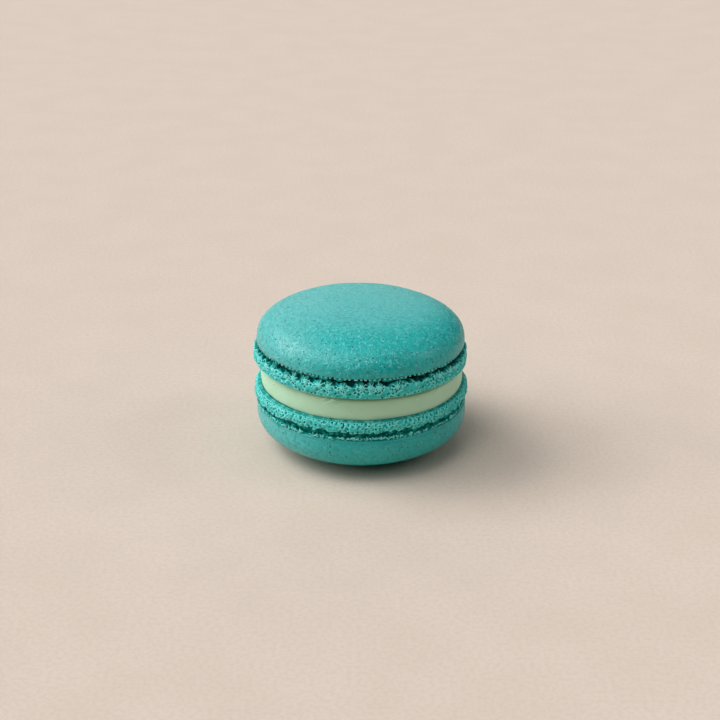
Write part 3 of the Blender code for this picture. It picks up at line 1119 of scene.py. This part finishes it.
def foot_material():
    """The foot's dry foam: lacy, with painted light where it stands out and painted shade in its hollows.
    """
    n = Nodes("shell_foot")
    colour = n.mix(n.ramp(n.noise(300.0), 0.35, 0.65), DRY, DRY_SLOW)
    walls = n.ramp(n.cells(1900.0, "DISTANCE_TO_EDGE"), 0.02, 0.15, 1.0, 0.0)
    # Painted light on the outermost face, fading with depth
    colour = n.mix(n.ramp(n.attribute("depth"), 0.0, 0.12, 0.6, 0.0), colour, OUTER_FACE_LIGHT)
    # A painted highlight on the cell walls
    colour = n.mix(n.times(walls, 0.25), colour, PALE_RIM_AND_HIGHLIGHT)
    # Painted sheen: paler on the left, the side the main light comes from
    colour = n.mix(n.ramp(n.along_x(), -0.022, -0.002, 0.4, 0.0), colour, LEFT_SIDE_SHEEN)
    # Ridges: paler, with a painted highlight
    colour = n.mix(n.ramp(n.attribute("ridge"), 0.2, 0.8, 0.0, 0.85), colour, PALE_RIM_AND_HIGHLIGHT)
    # Painted shade on the flat ledge round the filling
    colour = n.mix(n.ramp(n.attribute("ledge"), 0.2, 0.7, 0.0, 0.85), colour, LEDGE_SHADE)
    ribs = n.times(n.ramp(n.attribute("rib"), 0.1, 0.7), n.attribute("ledge"))
    # The ledge's ribs: paler, with a painted highlight
    colour = n.mix(n.times(ribs, 0.35), colour, PALE_RIM_AND_HIGHLIGHT)
    n.feed("Base Color", n.tint(colour, FOOT_TINTS))
    n.feed("Roughness", n.ramp(n.attribute("depth"), 0.1, 0.8, 0.7, 0.45))
    n.set(Specular_Ior_Level=0.1, Subsurface_Weight=0.08, Subsurface_Radius=(0.2, 1.0, 0.9),
          Subsurface_Scale=0.0006)
    normal = n.bump(walls, 1.0, 0.00006)
    normal = n.bump(n.noise(3800.0, 3.0), 0.5, 0.00008, normal)
    n.feed("Normal", normal)
    return n.material


CREAM = (0.490, 0.790, 0.550)
CREAM_SLOW = (0.520, 0.820, 0.580)
CREAM_STREAK = (0.620, 1.000, 0.720)
CREAM_SPECK_AND_SHADE = (0.250, 0.550, 0.330)
OLIVE_SHADE = (0.300, 0.560, 0.290)
DEEP_OLIVE_SHADE = (0.080, 0.250, 0.070)


def filling_material():
    """Pale mint cream: smooth, soft and a little see-through, with faint smears."""
    n = Nodes("filling_cream")
    share = n.attribute("share")
    foot_shade = n.attribute("foot_shade")
    colour = n.mix(n.ramp(n.noise(220.0), 0.35, 0.65), CREAM, CREAM_SLOW)
    # Painted shade under the upper foot's overhang: olive, darkest right under it
    colour = n.mix(n.times(n.ramp(share, 0.68, 0.92, 0.0, 0.5), foot_shade), colour, OLIVE_SHADE)
    colour = n.mix(n.times(n.ramp(share, 0.76, 0.94, 0.0, 0.95), foot_shade), colour, DEEP_OLIVE_SHADE)
    # Painted shade along the lower edge, where the cream meets the ledge
    colour = n.mix(n.ramp(share, 0.0, 0.07, 0.4, 0.0), colour, CREAM_SPECK_AND_SHADE)
    streaks = n.ramp(n.attribute("smear"), 0.05, 0.35)
    colour = n.mix(n.times(streaks, 0.9), colour, CREAM_STREAK)
    specks = n.times(n.ramp(n.cells(620.0), 0.05, 0.1, 1.0, 0.0), n.some_cells(620.0, 0.6))
    colour = n.mix(n.times(specks, 0.35), colour, CREAM_SPECK_AND_SHADE)
    n.feed("Base Color", colour)
    n.feed("Roughness", n.ramp(n.noise(500.0, 3.0), 0.3, 0.7, 0.36, 0.5))
    n.set(Subsurface_Weight=0.25, Subsurface_Radius=(0.8, 1.0, 0.7), Subsurface_Scale=0.0012)
    normal = n.bump(n.noise(1300.0, 3.0), 0.15, 0.0001)
    normal = n.bump(streaks, 1.0, 0.00008, normal)
    normal = n.bump(specks, 1.0, -0.00006, normal)
    n.feed("Normal", normal)
    return n.material


ALMOND = (0.300, 0.290, 0.120)
ALMOND_PALE = (0.400, 0.360, 0.170)
CRUMB_TEAL = (0.030, 0.460, 0.420)


def crumb_material():
    """Toasted almond crumbs, and a teal one."""
    n = Nodes("crumbs")
    toast = n.mix(n.ramp(n.noise(2500.0, 3.0), 0.35, 0.65), ALMOND, ALMOND_PALE)
    n.feed("Base Color", n.mix(n.attribute("teal"), toast, CRUMB_TEAL))
    n.set(Roughness=0.6, Specular_Ior_Level=0.3)
    n.feed("Normal", n.bump(n.noise(5000.0), 0.6, 0.00008))
    return n.material


FLOOR = (0.660, 0.562, 0.480)
FLOOR_PALE = (0.684, 0.582, 0.502)
FLOOR_SPECK = (0.560, 0.460, 0.380)


def floor_material():
    n = Nodes("floor_pale")
    colour = n.mix(n.ramp(n.noise(60.0, 4.0), 0.3, 0.7), FLOOR, FLOOR_PALE)
    colour = n.mix(n.ramp(n.noise(1100.0, 3.0), 0.35, 0.7, 0.0, 0.35), colour, FLOOR_SPECK)
    n.feed("Base Color", colour)
    n.set(Roughness=0.85, Specular_Ior_Level=0.2)
    return n.material


# The stage


def make_floor():
    half = 3.0
    corners = [(-half, -half, 0.0), (half, -half, 0.0), (half, half, 0.0), (-half, half, 0.0)]
    mesh = bpy.data.meshes.new("floor")
    mesh.from_pydata(corners, [], [(0, 1, 2, 3)])
    mesh.materials.append(floor_material())
    add_object("floor", mesh)


CAMERA_DISTANCE = 360.0
CAMERA_PITCH = math.radians(24.0)
CAMERA_ROLL = math.radians(0.1)
TARGET_Z = 19.05
TARGET_X = -0.38


def make_camera():
    data = bpy.data.cameras.new("camera")
    data.lens = 80.0
    data.sensor_width = 36.0
    data.clip_start = 0.01
    camera = add_object("camera", data)
    back = CAMERA_DISTANCE * math.cos(CAMERA_PITCH)
    rise = CAMERA_DISTANCE * math.sin(CAMERA_PITCH)
    camera.location = Vector((TARGET_X, -back, TARGET_Z + rise)) * MM
    way = Vector((TARGET_X, 0.0, TARGET_Z)) * MM - camera.location
    camera.rotation_euler = way.to_track_quat("-Z", "Y").to_euler()
    camera.rotation_euler.rotate_axis("Z", CAMERA_ROLL)
    bpy.context.scene.camera = camera


def make_soft_light(turn_deg, rise_deg, strength):
    """A broad far light, 0 degrees at +X and 90 at the back, with soft shadows."""
    turn, rise = math.radians(turn_deg), math.radians(rise_deg)
    data = bpy.data.lights.new("soft_light", "SUN")
    data.angle = LIGHT_WIDTH
    data.energy = strength
    lamp = add_object("soft_light", data)
    way = Vector((math.cos(turn) * math.cos(rise), math.sin(turn) * math.cos(rise), math.sin(rise)))
    lamp.rotation_euler = way.to_track_quat("Z", "Y").to_euler()


# The window at the left and the room, as patches of soft light: turn, rise and strength of each
LIGHTS = ((180.0, 25.0, 1.05), (150.0, 45.0, 0.95), (168.0, 42.0, 0.75), (210.0, 65.0, 0.75),
          (240.0, 45.0, 0.42), (0.0, 35.0, 0.47), (0.0, 85.0, 0.32), (90.0, 20.0, 0.25),
          (120.0, 25.0, 0.15))
LIGHT_WIDTH = math.radians(35.0)
WORLD_STRENGTH = 0.03


def make_light():
    for turn, rise, strength in LIGHTS:
        make_soft_light(turn, rise, strength)
    world = bpy.data.worlds.new("soft_room")
    world.use_nodes = True
    background = world.node_tree.nodes["Background"]
    background.inputs["Color"].default_value = (1.0, 1.0, 1.0, 1.0)
    background.inputs["Strength"].default_value = WORLD_STRENGTH
    bpy.context.scene.world = world
    bpy.context.scene.view_settings.view_transform = "Standard"


def main():
    skin = skin_material()
    foam = foot_material()
    cream = filling_material()
    make_dome("dome_top", "shell_top", skin, 5, TOP_CAP_R, TOP_WIDEST_Z, TOP_LIP_Z,
              APEX_Z - TOP_WIDEST_Z, 89.9, TOP_RING, TOP_STEPS, 130, TOP_BEAD, 1.0, rough_spot=ROUGH_SPOT)
    rise = BOTTOM_WIDEST_Z + BASE_CUT
    flat = math.degrees(math.asin((BOTTOM_WIDEST_Z / rise) ** (DOME_POWER / 2.0)))
    make_dome("dome_bottom", "shell_bottom", skin, 6, BOTTOM_CAP_R, BOTTOM_WIDEST_Z, BOTTOM_LIP_Z,
              -rise, flat, BOTTOM_RING, BOTTOM_STEPS, 110, 0.0, 0.4, groove_z=GROOVE_Z)
    make_foot("foot_top", "shell_top", foam, top_foot(), 41, place_top)
    make_foot("foot_bottom", "shell_bottom", foam, bottom_foot(), 71, place_low_foot)
    make_filling(cream)
    make_crumbs(crumb_material())
    make_floor()
    make_camera()
    make_light()


main()
